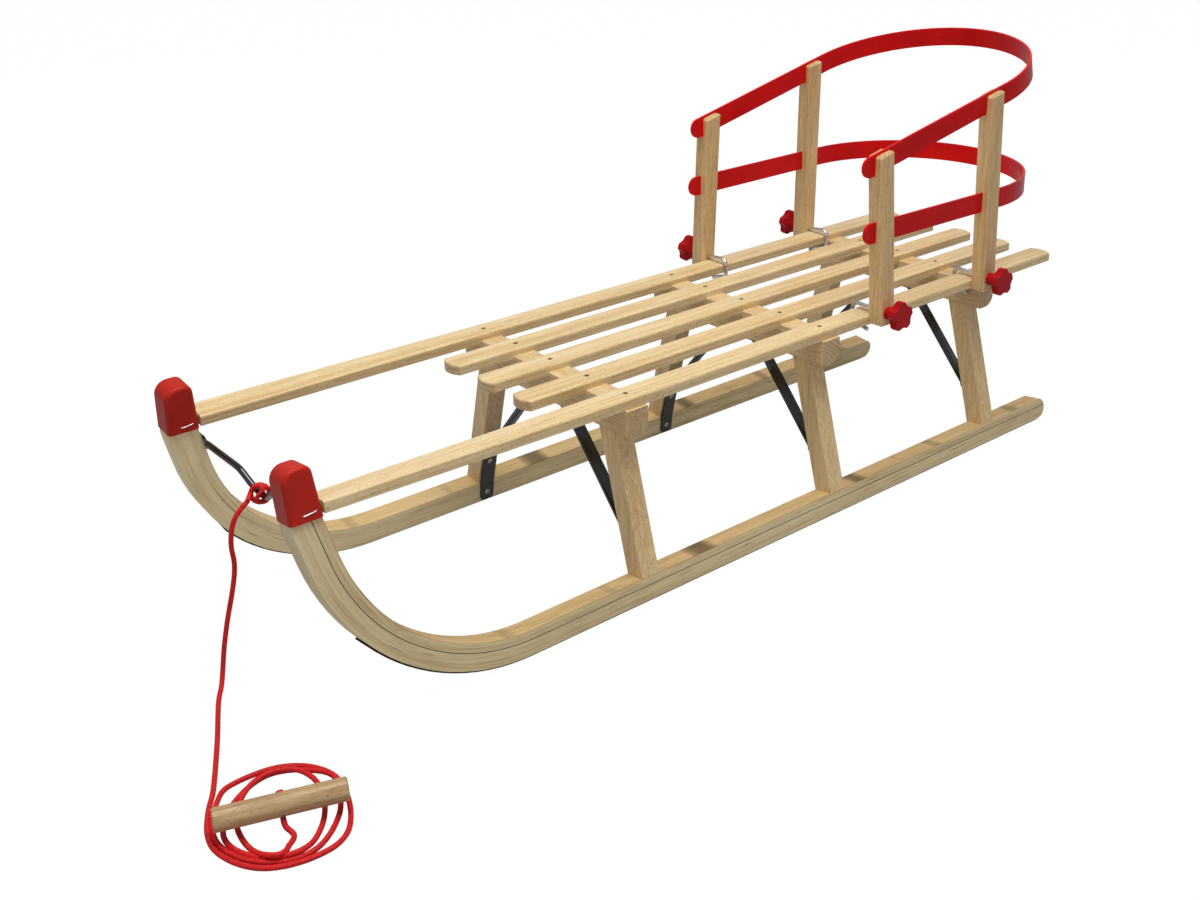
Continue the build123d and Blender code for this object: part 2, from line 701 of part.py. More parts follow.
handle = Cylinder(handle_radius, handle_length, rotation=(0, 90, 0))
handle = chamfer(handle.edges().filter_by(GeomType.CIRCLE), 1.2)
handle_hole = Rot(-55, 0, 0) * Cylinder(handle_hole_radius, handle_radius * 4)
handle = Pos(handle_middle_x, handle_middle_y, handle_height) * Rot(0, 0, handle_turn) * (handle - handle_hole)
save(handle, "pull_handle")
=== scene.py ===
from math import cos, radians, sin, tan

import bpy
from mathutils import Matrix, Vector


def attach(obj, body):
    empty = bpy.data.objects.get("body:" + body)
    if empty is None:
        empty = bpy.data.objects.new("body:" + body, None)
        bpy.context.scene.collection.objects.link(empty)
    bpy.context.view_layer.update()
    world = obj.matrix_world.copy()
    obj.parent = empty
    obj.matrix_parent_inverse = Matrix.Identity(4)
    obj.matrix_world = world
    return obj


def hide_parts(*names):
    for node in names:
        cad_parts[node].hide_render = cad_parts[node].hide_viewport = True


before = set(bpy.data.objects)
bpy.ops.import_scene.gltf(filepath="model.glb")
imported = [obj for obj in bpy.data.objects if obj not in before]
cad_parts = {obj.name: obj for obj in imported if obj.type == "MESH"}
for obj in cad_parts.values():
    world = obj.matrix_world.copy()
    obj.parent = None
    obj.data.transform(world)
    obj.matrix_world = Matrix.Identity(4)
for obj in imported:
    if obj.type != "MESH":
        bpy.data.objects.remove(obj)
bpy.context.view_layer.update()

# Wooden sled with a clip-on backrest, in metres. X forward, Y to the left, Z up.

CANT = radians(7.27)            # lean of each runner
TRACK = 0.143                   # lower inner edge of a runner from the middle
RISE = radians(76)              # slope of a runner's straight upper part
BEND_X = 0.3272                 # where the inner side of the bend starts
RUNNER_TOP = 0.028              # height of its flat part
INNER_R = 0.194                 # radius of the inner side of the bend
CROSSBAR_X = (0.1767, -0.1103, -0.3973)
LEG_INNER_Y, LEG_TOP_Z, LEG_LEAN = 0.0976, 0.185, radians(14.885)
SEAT_TOP = 0.226
STRUT = 0.0025                  # thickness of the flat steel
SHOE = 0.00195                  # thickness of the strip under a runner


def linear(code):
    """An sRGB hex colour as the linear colour that shaders take."""
    parts = [int(code[i:i + 2], 16) / 255 for i in (1, 3, 5)]
    return [p / 12.92 if p <= 0.04045 else ((p + 0.055) / 1.055) ** 2.4 for p in parts] + [1.0]


def spacing(millimetres):
    """The scale of a noise pattern whose features lie this far apart."""
    return round(1000 / millimetres)


def add(tree, kind, sockets=None, stops=(), **settings):
    """Add a node with its settings, links, values and colour stops. A value such as ("ADD", a, b) is a sum."""
    made = tree.nodes.new(kind)
    for key, value in settings.items():
        setattr(made, key, value)
    for key, value in (sockets or {}).items():
        if isinstance(value, tuple) and isinstance(value[0], str):
            value = add(tree, "ShaderNodeMath", dict(enumerate(value[1:])), operation=value[0])
        if isinstance(value, bpy.types.Node):
            value = value.outputs[0]
        if isinstance(value, bpy.types.NodeSocket):
            tree.links.new(value, made.inputs[key])
        else:
            made.inputs[key].default_value = value
    while len(stops) > 2 and len(made.color_ramp.elements) < len(stops):
        made.color_ramp.elements.new(0.5)
    for number, (place, colour) in enumerate(stops):
        made.color_ramp.elements[number].position = place
        made.color_ramp.elements[number].color = colour
    return made


def new_material(name, **surface):
    """A material with one Principled shader; returns its tree and shader."""
    material = bpy.data.materials.new(name)
    material.use_nodes = True
    tree = material.node_tree
    tree.nodes.clear()
    shader = add(tree, "ShaderNodeBsdfPrincipled",
                 {key.replace("_", " "): value for key, value in surface.items()})
    add(tree, "ShaderNodeOutputMaterial", {"Surface": shader})
    return material, tree, shader


# ---- camera, floor and light --------------------------------------------------

scene = bpy.context.scene
scene.view_settings.view_transform = "Standard"

CAMERA_PLACE = (0.9979, 1.1318, 0.7810)
azimuth, elevation, roll = radians(139.87), radians(20.31), -0.0154
look = Vector((-sin(azimuth) * cos(elevation), cos(azimuth) * cos(elevation), -sin(elevation)))
right = Vector((cos(azimuth), sin(azimuth), 0))
up = right.cross(look)
right, up = right * cos(roll) + up * sin(roll), up * cos(roll) - right * sin(roll)
camera = bpy.data.objects.new("camera", bpy.data.cameras.new("camera"))
camera.matrix_world = Matrix.Translation(CAMERA_PLACE) @ Matrix((right, up, -look)).transposed().to_4x4()
camera.data.sensor_width = 36
camera.data.lens = 41.76
camera.data.shift_x = -0.0364
camera.data.shift_y = -0.1054
camera.data.clip_start = 0.01
scene.collection.objects.link(camera)
scene.camera = camera

SKY_LIGHT = 0.24                # strength of the even light from all round
SHINE = 0.15                    # how much of the white surroundings a gloss shows
FLOOR_REACH, FLOOR_Z = 9, -0.0005
FLOOR_WHITE = 0.95              # share of the floor that is plain white; the rest takes the shadows


def area_lamp(name, place, target, size, power):
    data = bpy.data.lights.new(name, "AREA")
    data.shape, data.size, data.energy = "DISK", size, power
    lamp = bpy.data.objects.new(name, data)
    direction = Vector(target) - Vector(place)
    lamp.matrix_world = Matrix.Translation(place) @ direction.to_track_quat("-Z", "Y").to_matrix().to_4x4()
    scene.collection.objects.link(lamp)


area_lamp("top lamp", (0.2, 0.3, 2.6), (0, 0, 0.1), 2.0, 60)
area_lamp("left lamp", (1.6, 2.2, 1.7), (0, 0, 0.15), 1.2, 5.5)
area_lamp("front lamp", (2.6, -0.4, 1.2), (0, 0, 0.2), 1.2, 1.5)


def seen_directly(tree):
    """1 for rays from the camera or through glass, a part of that in gloss, 0 for light that falls on the sled."""
    rays = add(tree, "ShaderNodeLightPath").outputs
    seen = ("MAXIMUM", rays["Is Camera Ray"], ("MULTIPLY", rays["Is Glossy Ray"], SHINE))
    return add(tree, "ShaderNodeMath", {0: seen, 1: rays["Is Transmission Ray"]}, operation="MAXIMUM")


world = bpy.data.worlds.new("studio")
scene.world = world
world.use_nodes = True
tree = world.node_tree
tree.nodes.clear()
dim = add(tree, "ShaderNodeBackground", {"Color": (1, 1, 1, 1), "Strength": SKY_LIGHT})
bright = add(tree, "ShaderNodeBackground", {"Color": (1, 1, 1, 1), "Strength": 1.0})
sky = add(tree, "ShaderNodeMixShader", {0: seen_directly(tree), 1: dim, 2: bright})
add(tree, "ShaderNodeOutputWorld", {"Surface": sky})

floor_mesh = bpy.data.meshes.new("floor")
corners = [(x * FLOOR_REACH, y * FLOOR_REACH, FLOOR_Z) for x, y in ((-1, -1), (1, -1), (1, 1), (-1, 1))]
floor_mesh.from_pydata(corners, [], [(0, 1, 2, 3)])
floor = bpy.data.objects.new("floor", floor_mesh)
scene.collection.objects.link(floor)
floor_look = bpy.data.materials.new("pale studio floor")
floor_look.use_nodes = True
tree = floor_look.node_tree
tree.nodes.clear()
matt = add(tree, "ShaderNodeBsdfDiffuse", {"Color": (0.45, 0.45, 0.45, 1)})
glow = add(tree, "ShaderNodeEmission", {"Color": (1, 1, 1, 1), "Strength": 1.04})
mixed = add(tree, "ShaderNodeMixShader", {0: ("MULTIPLY", seen_directly(tree), FLOOR_WHITE), 1: matt, 2: glow})
add(tree, "ShaderNodeOutputMaterial", {"Surface": mixed})
floor_mesh.materials.append(floor_look)

# ---- materials ------------------------------------------------------------------

GRAIN_AXIS = {"X": (1, 0, 0), "Y": (0, 1, 0), "Z": (0, 0, 1)}
GRAIN_STRETCH = 0.05            # the grain is this much closer together across the board than along it
FLECK_SHORTER = 3.0             # a fleck is this much shorter than a streak
RING_SCALE = 68.0               # growth rings 4.6 mm apart


def lacquered_wood(name, pale, mid, dark, along, pith, turn=(0, 0, 0), gloss=0.36, ringed=0.1):
    """Planed beech under satin lacquer. Growth rings lie round a pith beside the board and show as long soft
    stripes about 4.6 mm apart, with pale and brown streaks 3 mm apart, brown flecks of 0.8 mm, a slow drift of
    the tone over 36 mm, and darker rings on end grain."""
    material, tree, shader = new_material(name, Roughness=gloss, IOR=1.5, Coat_Weight=0.15, Coat_Roughness=0.3)
    where = add(tree, "ShaderNodeTexCoord").outputs
    squeeze = [GRAIN_STRETCH if part else 1 for part in GRAIN_AXIS[along]]
    point = add(tree, "ShaderNodeMapping", {0: where["Object"], "Rotation": turn})
    point = add(tree, "ShaderNodeMapping", {0: point, "Location": pith, "Scale": squeeze})
    rings = add(tree, "ShaderNodeTexWave",
                {"Vector": point, "Scale": RING_SCALE, "Distortion": 9.0, "Detail": 3.0, "Detail Scale": 0.35,
                 "Detail Roughness": 0.6},
                wave_type="RINGS", rings_direction=along, wave_profile="SIN")
    streaks = add(tree, "ShaderNodeTexNoise",
                  {"Vector": point, "Scale": spacing(3.03), "Detail": 4.0, "Roughness": 0.65})
    drift = add(tree, "ShaderNodeTexNoise", {"Vector": point, "Scale": spacing(35.7), "Detail": 1.0})
    tone = add(tree, "ShaderNodeMix", {0: ringed, 2: streaks.outputs["Fac"], 3: rings.outputs["Fac"]})
    tone = add(tree, "ShaderNodeMix", {0: 0.35, 2: tone, 3: drift.outputs["Fac"]})
    tone = add(tree, "ShaderNodeValToRGB", {0: tone},
               stops=[(0.36, linear(dark)), (0.50, linear(mid)), (0.62, linear(pale))])
    shorter = [FLECK_SHORTER if part else 1 for part in GRAIN_AXIS[along]]
    fleck_point = add(tree, "ShaderNodeMapping", {0: point, "Scale": shorter})
    flecks = add(tree, "ShaderNodeTexNoise", {"Vector": fleck_point, "Scale": spacing(0.8), "Detail": 1.0})
    flecks = add(tree, "ShaderNodeValToRGB", {0: flecks.outputs["Fac"]},
                 stops=[(0.60, (1, 1, 1, 1)), (0.70, (0.66, 0.55, 0.42, 1))])
    colour = add(tree, "ShaderNodeMix", {0: 0.8, 6: tone, 7: flecks}, data_type="RGBA", blend_type="MULTIPLY")
    facing = add(tree, "ShaderNodeVectorMath", {0: where["Normal"], 1: GRAIN_AXIS[along]},
                 operation="DOT_PRODUCT")
    end_grain = add(tree, "ShaderNodeMapRange",
                    {"Value": ("ABSOLUTE", facing.outputs["Value"]), "From Min": 0.55, "From Max": 0.75})
    end_tone = add(tree, "ShaderNodeValToRGB", {0: rings.outputs["Fac"]},
                   stops=[(0.2, (0.74, 0.70, 0.68, 1)), (0.8, (0.88, 0.84, 0.82, 1))])
    ended = add(tree, "ShaderNodeMix", {0: 1.0, 6: colour.outputs[2], 7: end_tone},
                data_type="RGBA", blend_type="MULTIPLY")
    colour = add(tree, "ShaderNodeMix", {0: end_grain, 6: colour.outputs[2], 7: ended.outputs[2]},
                 data_type="RGBA")
    tree.links.new(colour.outputs[2], shader.inputs["Base Color"])
    bump = add(tree, "ShaderNodeBump",
               {"Height": streaks.outputs["Fac"], "Strength": 0.15, "Distance": 0.0003})
    tree.links.new(bump.outputs[0], shader.inputs["Normal"])
    return material


LAYER = 0.00485                 # thickness of one glued layer
OPEN_JOINT = 2                  # the layer whose glue line shows most
GLUE_SHARE = (0.10, 0.24)       # where in a layer its glue line fades out
LAYERS_WAVE = 0.0016            # how far the layers wander in and out


def laminated_wood(name, side, pale, mid, dark, joint):
    """Ash bent and glued up from layers about 5 mm thick: grey-beige layers that hardly differ, grain of 1.6 mm
    that follows the bend, and thin dark glue lines that come and go, under satin lacquer. The upper face has a
    warmer tone."""
    material, tree, shader = new_material(name, Roughness=0.45, IOR=1.5, Specular_IOR_Level=0.3)
    where = add(tree, "ShaderNodeTexCoord").outputs["Object"]
    where = add(tree, "ShaderNodeVectorMath", {0: where, 1: (0, side * TRACK, 0)}, operation="SUBTRACT")
    local = add(tree, "ShaderNodeVectorRotate", {"Vector": where, "Angle": -side * CANT}, rotation_type="X_AXIS")
    apart = add(tree, "ShaderNodeSeparateXYZ", {0: local}).outputs

    # How deep a point lies under the inner side of the bend, and how far along the runner.
    ahead = add(tree, "ShaderNodeMath", {0: apart["X"], 1: BEND_X}, operation="SUBTRACT")
    below = add(tree, "ShaderNodeMath", {0: RUNNER_TOP + INNER_R, 1: apart["Z"]}, operation="SUBTRACT")
    angle = add(tree, "ShaderNodeMath", {0: ahead, 1: below}, operation="ARCTAN2")
    on_bend = add(tree, "ShaderNodeMath", {0: ahead, 1: 0.0}, operation="GREATER_THAN")
    radius = ("SQRT", ("ADD", ("MULTIPLY", ahead, ahead), ("MULTIPLY", below, below)))
    reach = ("SUBTRACT", ("MULTIPLY", ahead, sin(RISE)), ("MULTIPLY", below, -cos(RISE)))
    depth = add(tree, "ShaderNodeMix", {0: ("GREATER_THAN", angle, RISE), 2: ("SUBTRACT", radius, INNER_R),
                                        3: ("SUBTRACT", reach, INNER_R)})
    depth = add(tree, "ShaderNodeMix", {0: on_bend, 2: ("SUBTRACT", RUNNER_TOP, apart["Z"]), 3: depth})
    arc = ("MULTIPLY", ("MAXIMUM", angle, 0.0), INNER_R)
    along = ("ADD", ("MULTIPLY", on_bend, arc), ("MINIMUM", apart["X"], BEND_X))
    course = add(tree, "ShaderNodeCombineXYZ", {0: along, 1: apart["Y"], 2: depth})

    # Layers that wander a little, each with its own tone.
    drawn = add(tree, "ShaderNodeMapping", {0: course, "Scale": (0.045, 0.6, 1)})
    wander = add(tree, "ShaderNodeTexNoise", {"Vector": drawn, "Scale": spacing(16.7), "Detail": 1.0})
    wander = ("MULTIPLY", ("SUBTRACT", wander.outputs["Fac"], 0.5), LAYERS_WAVE)
    depth = add(tree, "ShaderNodeMath", {0: depth, 1: wander}, operation="ADD")
    layer = add(tree, "ShaderNodeMath", {0: depth, 1: LAYER}, operation="DIVIDE")
    shade = add(tree, "ShaderNodeTexWhiteNoise", {"W": ("FLOOR", layer)}, noise_dimensions="1D")
    grain = add(tree, "ShaderNodeTexNoise",
                {"Vector": drawn, "Scale": spacing(1.613), "Detail": 4.0, "Roughness": 0.6})
    broad = add(tree, "ShaderNodeTexNoise", {"Vector": drawn, "Scale": spacing(8.33), "Detail": 2.0})
    tone = add(tree, "ShaderNodeMix", {0: 0.45, 2: grain.outputs["Fac"], 3: broad.outputs["Fac"]})
    shade = ("MULTIPLY", ("SUBTRACT", shade.outputs["Value"], 0.5), 0.13)
    tone = add(tree, "ShaderNodeValToRGB", {0: ("ADD", tone, shade)},
               stops=[(0.32, linear(dark)), (0.50, linear(mid)), (0.68, linear(pale))])
    upper = add(tree, "ShaderNodeMapRange",
                {"Value": depth, "From Min": 0.0004, "From Max": 0.0018, "To Min": 0.5, "To Max": 0.0})
    tone = add(tree, "ShaderNodeMix", {0: upper, 6: tone, 7: (0.88, 0.62, 0.34, 1)},
               data_type="RGBA", blend_type="MULTIPLY")

    # Glue lines: one that shows all along, and stretches about 60 mm long of the others.
    broken = add(tree, "ShaderNodeMapping", {0: course, "Scale": (16.0, 0, 160.0)})
    broken = add(tree, "ShaderNodeTexNoise", {"Vector": broken, "Scale": 1.0, "Detail": 1.0})
    broken = add(tree, "ShaderNodeMapRange", {"Value": broken.outputs["Fac"], "From Min": 0.58, "From Max": 0.68})
    line = add(tree, "ShaderNodeMapRange", {"Value": ("FRACT", layer), "From Min": GLUE_SHARE[0],
                                            "From Max": GLUE_SHARE[1], "To Min": 1.0, "To Max": 0.0})
    open_joint = ("MULTIPLY", ("COMPARE", ("FLOOR", layer), OPEN_JOINT, 0.1), joint)
    strength = ("MAXIMUM", open_joint, ("ADD", ("MULTIPLY", broken, 0.7), 0.04))
    colour = add(tree, "ShaderNodeMix",
                 {0: ("MULTIPLY", line, strength), 6: tone.outputs[2], 7: linear("#33230F")}, data_type="RGBA")
    tree.links.new(colour.outputs[2], shader.inputs["Base Color"])
    bump = add(tree, "ShaderNodeBump", {"Height": grain.outputs["Fac"], "Strength": 0.15, "Distance": 0.0003})
    tree.links.new(bump.outputs[0], shader.inputs["Normal"])
    return material


def moulded_plastic(name, colour, gloss):
    """Moulded polypropylene: one strong colour, cloudy over 40 mm, glossy, with a faint orange peel of 1.1 mm."""
    material, tree, shader = new_material(name, Roughness=gloss, IOR=1.45, Specular_IOR_Level=0.16)
    point = add(tree, "ShaderNodeTexCoord").outputs["Object"]
    cloud = add(tree, "ShaderNodeTexNoise", {"Vector": point, "Scale": spacing(41.7), "Detail": 3.0})
    base = linear(colour)
    tone = add(tree, "ShaderNodeValToRGB", {0: cloud.outputs["Fac"]},
               stops=[(0.3, [c * 0.86 for c in base[:3]] + [1]), (0.7, [c * 1.06 for c in base[:3]] + [1])])
    tree.links.new(tone.outputs[0], shader.inputs["Base Color"])
    peel = add(tree, "ShaderNodeTexNoise", {"Vector": point, "Scale": spacing(1.11), "Detail": 1.0})
    bump = add(tree, "ShaderNodeBump", {"Height": peel.outputs["Fac"], "Strength": 0.08, "Distance": 0.0002})
    tree.links.new(bump.outputs[0], shader.inputs["Normal"])
    return material


def enamelled_steel(name):
    """Black stoved enamel on pressed steel: deep black and glossy, with slight runs about 14 mm apart."""
    material, tree, shader = new_material(name, Roughness=0.13, IOR=1.7)
    point = add(tree, "ShaderNodeTexCoord").outputs["Object"]
    cloud = add(tree, "ShaderNodeTexNoise", {"Vector": point, "Scale": spacing(14.3), "Detail": 4.0})
    tone = add(tree, "ShaderNodeValToRGB", {0: cloud.outputs["Fac"]},
               stops=[(0.3, linear("#050506")), (0.7, linear("#121214"))])
    tree.links.new(tone.outputs[0], shader.inputs["Base Color"])
    bump = add(tree, "ShaderNodeBump", {"Height": cloud.outputs["Fac"], "Strength": 0.12, "Distance": 0.0004})
    tree.links.new(bump.outputs[0], shader.inputs["Normal"])
    return material


def plated_steel(name, colour, rough, squeeze=(1, 1, 1)):
    """Zinc plate or bare strip: metallic, with spangle or drawn streaks 2.5 mm apart."""
    material, tree, shader = new_material(name, Metallic=1.0, Roughness=rough)
    where = add(tree, "ShaderNodeTexCoord").outputs["Object"]
    point = add(tree, "ShaderNodeMapping", {0: where, "Scale": squeeze})
    cloud = add(tree, "ShaderNodeTexNoise", {"Vector": point, "Scale": spacing(2.5), "Detail": 3.0})
    base = linear(colour)
    tone = add(tree, "ShaderNodeValToRGB", {0: cloud.outputs["Fac"]},
               stops=[(0.3, [c * 0.7 for c in base[:3]] + [1]), (0.7, base)])
    tree.links.new(tone.outputs[0], shader.inputs["Base Color"])
    bump = add(tree, "ShaderNodeBump", {"Height": cloud.outputs["Fac"], "Strength": 0.12, "Distance": 0.0002})
    tree.links.new(bump.outputs[0], shader.inputs["Normal"])
    return material


def braided_cord(name, colour, dark):
    """Braided polypropylene cord: strands about 1.6 mm wide, the cord's red on their crowns and painted shade in
    the gaps between them, hardly glossy."""
    material, tree, shader = new_material(name, Roughness=0.55, IOR=1.45, Specular_IOR_Level=0.25)
    where = add(tree, "ShaderNodeTexCoord").outputs["Object"]
    weave = add(tree, "ShaderNodeTexVoronoi",
                {"Vector": where, "Scale": spacing(1.613), "Randomness": 0.55})
    # The crowns take the cord's red. Towards the gaps between strands it turns to the painted shade colour.
    tone = add(tree, "ShaderNodeValToRGB", {0: weave.outputs["Distance"]},
               stops=[(0.15, linear(colour)), (0.85, linear(dark))])
    tree.links.new(tone.outputs[0], shader.inputs["Base Color"])
    bump = add(tree, "ShaderNodeBump",
               {"Height": weave.outputs["Distance"], "Strength": 0.3, "Distance": 0.0004}, invert=True)
    tree.links.new(bump.outputs[0], shader.inputs["Normal"])
    return material


slat_wood = lacquered_wood("lacquered beech slats", "#F0D9AC", "#E6CB98", "#D6B27A", "X", (0, 0.09, 0.13),
                           gloss=0.34, ringed=0.13)
cross_wood = lacquered_wood("lacquered beech crossbars", "#EACE9C", "#DEC18E", "#CBA872", "Y",
                            (0.05, 0, -0.13), ringed=0.08)
leg_wood = lacquered_wood("lacquered beech legs", "#F4D8A3", "#E8CA95", "#D2AE77", "Z", (0.045, 0.06, 0),
                          ringed=0.05)
post_wood = lacquered_wood("lacquered beech posts", "#ECCE9A", "#DFBC86", "#CAA16B", "Z", (0.035, 0.05, 0))
handle_wood = lacquered_wood("turned beech handle", "#CEB386", "#BC9C6E", "#9A7A52", "X", (0, 0.02, 0.03),
                             turn=(0, 0, radians(-159.9)), gloss=0.6, ringed=0.04)
cap_plastic = moulded_plastic("red moulded polypropylene", "#BE2A1E", 0.38)
knob_plastic = moulded_plastic("red moulded knobs", "#B41218", 0.26)
band_plastic = moulded_plastic("red extruded bands", "#DC1014", 0.22)
black_enamel = enamelled_steel("black enamelled steel")
zinc = plated_steel("zinc plated rod", "#F0F1F2", 0.22)
# The slat screws' dark brown is partly yellowed zinc and partly painted shade, standing in for the shade in the
# holes they sit in.
screw_steel_with_hole_shade = plated_steel("yellowed zinc screws with painted hole shade", "#4E3C22", 0.5)
bright_steel = plated_steel("bright steel staples and screws", "#E4E4E2", 0.3)
shoe_steel = plated_steel("dark steel strip", "#35332F", 0.42, (0.05, 1, 1))
# The second colour is painted shade for the gaps between the strands.
cord_fibre = braided_cord("red braided cord", "#F42A28", "#A8141A")


def dress(name, material):
    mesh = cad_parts[name].data
    mesh.materials.clear()
    mesh.materials.append(material)


for side, sign in (("left", 1), ("right", -1)):
    dress("runner_shoe_" + side, shoe_steel)
    dress("side_rail_" + side, slat_wood)
    dress("tip_cap_" + side, cap_plastic)
    for place in ("front", "middle", "rear"):
        dress("leg_" + place + "_" + side, leg_wood)
        dress("strut_" + place + "_" + side, black_enamel)
    for place in ("front", "rear"):
        dress("backrest_post_" + place + "_" + side, post_wood)
        dress("hook_bolt_" + place + "_" + side, zinc)
        dress("star_knob_" + place + "_" + side, knob_plastic)
dress("runner_left", laminated_wood("laminated ash left", 1, "#F0E0B2", "#E2CD9E", "#C9AF80", 0.95))
# The right runner's tones are painted about 1.25 times lighter than the left's: painted light on its inner side,
# which faces slightly down. Its fainter glue lines are the wood's own.
dress("runner_right", laminated_wood("laminated ash right, painted lighter", -1, "#FFF0C4", "#F6E2B0", "#DCC08E", 0.15))
for place in ("left", "middle", "right"):
    dress("seat_slat_" + place, slat_wood)
for place in ("front", "middle", "rear"):
    dress("crossbar_" + place, cross_wood)
dress("pull_bar", black_enamel)
dress("backrest_band_lower", band_plastic)
dress("backrest_band_top", band_plastic)
dress("pull_handle", handle_wood)

# ---- pull cord --------------------------------------------------------------------

CORD_R = 0.0024
KNOT_R = 0.0018                 # the cord pulled tight in the knot behind the handle
MM = 1000                       # the cord's points are in millimetres

hanging = [
    (532.4, 0.1, 178.0), (543.7, 0.3, 170.5), (550.5, 0.0, 157.5), (553.9, 0.4, 138.5), (551.5, 0.2, 119.0),
    (557.2, 1.0, 95.0), (566.7, 1.6, 66.0), (574.2, 2.6, 38.0), (579.0, 5.2, 18.0), (585.3, 13.0, 5.5),
    (594.8, 26.0, 2.3), (606.3, 50.0, 2.1), (619.5, 78.5, 2.4), (633.5, 106.5, 2.1), (646.5, 132.0, 2.3),
    (656.6, 150.9, 2.1),
]
# The loose turns on the ground, each inside the last and over it where they meet.
first_turn = [
    (666, 164, 2.2), (676, 182, 2.2), (683, 199, 2.2), (685, 215, 2.2), (682, 232, 2.2), (675, 248, 2.2),
    (665, 261, 2.2), (651, 270, 2.2), (636, 275, 2.2), (621, 277, 2.2), (606, 276, 2.2), (592, 268, 2.2),
    (581, 252, 2.2), (573, 234, 2.2), (568, 216, 2.2), (566, 199, 2.2), (570, 184, 2.2), (578, 170, 2.2),
    (590, 159, 2.2), (604, 152, 2.2), (620, 149.5, 2.2), (635, 149, 2.2),
]
second_turn = [
    (648, 151, 2.4), (658, 162, 2.4), (668, 176, 2.4), (676, 192, 2.4), (680, 208, 2.4), (678, 225, 2.4),
    (672, 241, 2.4), (661, 256, 2.4), (647, 266, 2.4), (633, 270, 2.4), (620, 269, 2.4), (607, 262, 2.4),
    (595, 252, 2.4), (584, 240, 2.4), (575, 223, 4.0), (569, 207, 6.4), (571, 192, 5.6), (580, 177, 3.0),
    (592, 165, 2.6), (608, 158, 2.6), (624, 160, 2.6), (637, 166, 2.6), (648, 173, 2.6),
]
third_turn = [
    (658, 182, 2.8), (668, 195, 2.8), (674, 210, 2.8), (673, 226, 2.8), (666, 242, 2.8), (656, 256, 4.0),
    (644, 265, 6.2), (632, 267, 6.2), (621, 262, 4.0), (612, 254, 2.8), (604, 246, 2.8), (596, 235, 2.8),
    (588, 219, 2.8), (583, 202, 3.0), (583, 187, 4.6), (589, 173, 6.6), (600, 164, 6.8), (614, 161, 6.8),
    (629, 165, 6.6), (642, 174, 4.6),
]
inner_turn = [
    (652, 187, 2.8), (659, 201, 2.8), (662, 215, 2.8), (663, 229, 2.8), (662, 243, 4.6), (658, 255, 7.4),
    (651, 263, 9.0), (643, 260, 7.0), (638, 253, 4.6), (632, 249, 4.0), (628.5, 244.5, 4.2), (629.5, 240.5, 6.0),
    (631.6, 237.2, 8.4), (631.6, 233.4, 10.6), (630.2, 229.5, 13.4),
]


def spline_object(name, points, radius):
    """A round cord along a smooth curve with these control points, lying on the ground where they are low."""
    data = bpy.data.curves.new(name, "CURVE")
    data.dimensions = "3D"
    data.bevel_depth = radius
    data.bevel_resolution = 4
    data.resolution_u = 6
    data.use_fill_caps = True
    spline = data.splines.new("NURBS")
    spline.points.add(len(points) - 1)
    for place, point in zip(spline.points, points):
        x, y, z = (value / MM for value in point)
        place.co = (x, y, max(z, radius), 1)
    spline.order_u = 3
    spline.use_endpoint_u = True
    made = bpy.data.objects.new(name, data)
    scene.collection.objects.link(made)
    data.materials.append(cord_fibre)
    return made


route = hanging + first_turn + second_turn + third_turn + inner_turn
cord = spline_object("pull_cord_braid", route, CORD_R)
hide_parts("pull_cord", "pull_cord_coil", "pull_cord_tail")

# The knot round the dip of the bar: a loose loop, a strand down its front and a short free end.
bar_loop = [
    (532.4, 0.1, 178), (528, -5, 179), (523, -7.5, 185.5), (518, -3.5, 190.5), (512, 2.5, 188),
    (511, 5, 180.5), (515, 3.5, 173.5), (522, -3.5, 172.5), (525.5, -7, 177.5), (524, -7, 186),
    (519, -2, 190.5), (516.2, 4.2, 187), (520.5, 2.5, 183), (524, 0, 177), (520.5, -1, 172.5),
    (514.5, 0, 173.5), (510, 2.5, 179.5), (510, 5, 186.5), (508.5, 10, 189), (506, 15, 187.5),
]
bar_knot = spline_object("bar_knot", bar_loop, CORD_R)
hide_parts("pull_cord_knot")

# The knot that keeps the cord's other end from slipping back through the handle.
end_loop = [
    (628.6, 225, 16.8), (626.4, 219, 23.8), (625.8, 217.2, 27.4), (622.6, 214.8, 26.7), (622.1, 214, 22.2),
    (625.6, 215, 20.0), (628.6, 216.3, 22.7), (627.6, 215.2, 26.5), (623.6, 212.5, 25.2), (623.4, 212.3, 21.8),
    (626.6, 213.5, 21.2), (627.6, 214, 24.2),
]
end_knot = spline_object("handle_end_knot", end_loop, KNOT_R)

for piece in (cord, bar_knot, end_knot):
    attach(piece, "root")

# ---- screws and staples -----------------------------------------------------------


def beside_runner(sign, across, up):
    """A point beside a runner, from its lower inner edge: across to the outside and up along its lean."""
    shoe_lift = -SHOE * sin(CANT)
    y = TRACK + across * cos(CANT) - up * sin(CANT)
    return sign * y, shoe_lift + across * sin(CANT) + up * cos(CANT)


def fastener_tree(name, sizes):
    """A Geometry Nodes tree with one input for each size; returns it with its input and size sockets."""
    tree = bpy.data.node_groups.new(name, "GeometryNodeTree")
    tree.interface.new_socket("Places", in_out="INPUT", socket_type="NodeSocketGeometry")
    for label in sizes:
        tree.interface.new_socket(label, in_out="INPUT", socket_type="NodeSocketFloat")
    tree.interface.new_socket("Finish", in_out="INPUT", socket_type="NodeSocketMaterial")
    tree.interface.new_socket("Geometry", in_out="OUTPUT", socket_type="NodeSocketGeometry")
    return tree, add(tree, "NodeGroupInput").outputs


